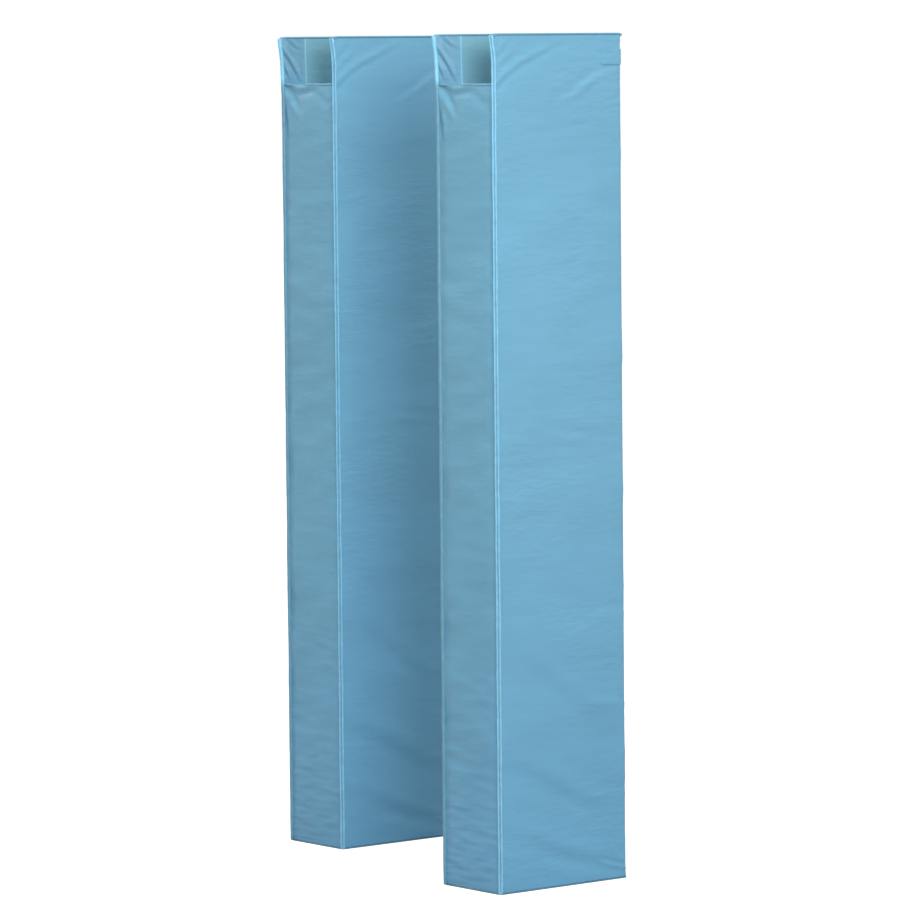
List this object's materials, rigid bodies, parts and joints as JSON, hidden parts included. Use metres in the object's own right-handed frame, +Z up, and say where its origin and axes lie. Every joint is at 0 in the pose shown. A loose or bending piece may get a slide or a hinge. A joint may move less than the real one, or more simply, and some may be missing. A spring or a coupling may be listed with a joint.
{
  "type": "volleyball post pad pair",
  "caption": "Tall light-blue safety pads for volleyball posts: vinyl-covered foam panels hinged into open-backed sleeves, with a cable notch and strap closures.",
  "frame": {"origin": "on the floor, under the middle of the box round both pads", "axes": "+Z up along the posts, -Y the way the noses face, +X from the left pad to the right pad"},
  "size_m": [0.925, 0.5042, 1.829],
  "materials": {
    "vinyl": "satin",
    "vinyl_trim": "satin",
    "welt": "satin",
    "foam": "matte",
    "hook_tape": "matte",
    "loop_tape": "matte",
    "thread": "matte"
  },
  "bodies": {
    "noses": {"left_pad_nose_foam": "foam", "left_pad_nose_cover": "vinyl", "left_pad_nose_top_hem": "vinyl_trim", "left_pad_nose_bottom_hem": "vinyl_trim", "right_pad_nose_foam": "foam", "right_pad_nose_cover": "vinyl", "right_pad_nose_top_hem": "vinyl_trim", "right_pad_nose_bottom_hem": "vinyl_trim"},
    "left_pad_left_wing": {"left_pad_left_wing_foam": "foam", "left_pad_left_wing_cover": "vinyl", "left_pad_left_wing_top_hem": "vinyl_trim", "left_pad_left_wing_bottom_hem": "vinyl_trim", "left_pad_left_corner_welt": "welt", "left_pad_left_inner_seam": "welt", "left_pad_loop_patches": "loop_tape"},
    "left_pad_right_wing": {"left_pad_right_wing_foam": "foam", "left_pad_right_wing_cover": "vinyl", "left_pad_right_wing_top_hem": "vinyl_trim", "left_pad_right_wing_bottom_hem": "vinyl_trim", "left_pad_right_corner_welt": "welt", "left_pad_right_inner_seam": "welt", "left_pad_strap_tails": "vinyl_trim", "left_pad_tail_stitching": "thread"},
    "left_pad_top_closure": {"left_pad_top_strap": "vinyl_trim", "left_pad_top_hook_tape": "hook_tape"},
    "left_pad_middle_closure": {"left_pad_middle_strap": "vinyl_trim", "left_pad_middle_hook_tape": "hook_tape"},
    "left_pad_bottom_closure": {"left_pad_bottom_strap": "vinyl_trim", "left_pad_bottom_hook_tape": "hook_tape"},
    "right_pad_left_wing": {"right_pad_left_wing_foam": "foam", "right_pad_left_wing_cover": "vinyl", "right_pad_left_wing_top_hem": "vinyl_trim", "right_pad_left_wing_bottom_hem": "vinyl_trim", "right_pad_left_corner_welt": "welt", "right_pad_left_inner_seam": "welt", "right_pad_loop_patches": "loop_tape"},
    "right_pad_right_wing": {"right_pad_right_wing_foam": "foam", "right_pad_right_wing_cover": "vinyl", "right_pad_right_wing_top_hem": "vinyl_trim", "right_pad_right_wing_bottom_hem": "vinyl_trim", "right_pad_right_corner_welt": "welt", "right_pad_right_inner_seam": "welt", "right_pad_strap_tails": "vinyl_trim", "right_pad_tail_stitching": "thread"},
    "right_pad_top_closure": {"right_pad_top_strap": "vinyl_trim", "right_pad_top_hook_tape": "hook_tape"},
    "right_pad_middle_closure": {"right_pad_middle_strap": "vinyl_trim", "right_pad_middle_hook_tape": "hook_tape"},
    "right_pad_bottom_closure": {"right_pad_bottom_strap": "vinyl_trim", "right_pad_bottom_hook_tape": "hook_tape"}
  },
  "joints": [
    {"name": "left_pad_left_wing_hinge", "type": "hinge", "parent": "noses", "child": "left_pad_left_wing", "pos_m": [-0.459, -0.10605, 0], "axis": [0, 0, 1], "range_deg": [0, 90]},
    {"name": "left_pad_right_wing_hinge", "type": "hinge", "parent": "noses", "child": "left_pad_right_wing", "pos_m": [-0.271, -0.10605, 0], "axis": [0, 0, -1], "range_deg": [0, 90]},
    {"name": "left_pad_top_strap_hinge", "type": "hinge", "parent": "left_pad_right_wing", "child": "left_pad_top_closure", "pos_m": [-0.279, 0.2509, 0], "axis": [0, 0, -1], "range_deg": [0, 110]},
    {"name": "left_pad_middle_strap_hinge", "type": "hinge", "parent": "left_pad_right_wing", "child": "left_pad_middle_closure", "pos_m": [-0.2986, 0.2509, 0], "axis": [0, 0, -1], "range_deg": [0, 110]},
    {"name": "left_pad_bottom_strap_hinge", "type": "hinge", "parent": "left_pad_right_wing", "child": "left_pad_bottom_closure", "pos_m": [-0.2986, 0.2509, 0], "axis": [0, 0, -1], "range_deg": [0, 110]},
    {"name": "right_pad_left_wing_hinge", "type": "hinge", "parent": "noses", "child": "right_pad_left_wing", "pos_m": [0.271, -0.24605, 0], "axis": [0, 0, 1], "range_deg": [0, 90]},
    {"name": "right_pad_right_wing_hinge", "type": "hinge", "parent": "noses", "child": "right_pad_right_wing", "pos_m": [0.459, -0.24605, 0], "axis": [0, 0, -1], "range_deg": [0, 90]},
    {"name": "right_pad_top_strap_hinge", "type": "hinge", "parent": "right_pad_right_wing", "child": "right_pad_top_closure", "pos_m": [0.451, 0.1109, 0], "axis": [0, 0, -1], "range_deg": [0, 110]},
    {"name": "right_pad_middle_strap_hinge", "type": "hinge", "parent": "right_pad_right_wing", "child": "right_pad_middle_closure", "pos_m": [0.4314, 0.1109, 0], "axis": [0, 0, -1], "range_deg": [0, 110]},
    {"name": "right_pad_bottom_strap_hinge", "type": "hinge", "parent": "right_pad_right_wing", "child": "right_pad_bottom_closure", "pos_m": [0.4314, 0.1109, 0], "axis": [0, 0, -1], "range_deg": [0, 110]}
  ]
}
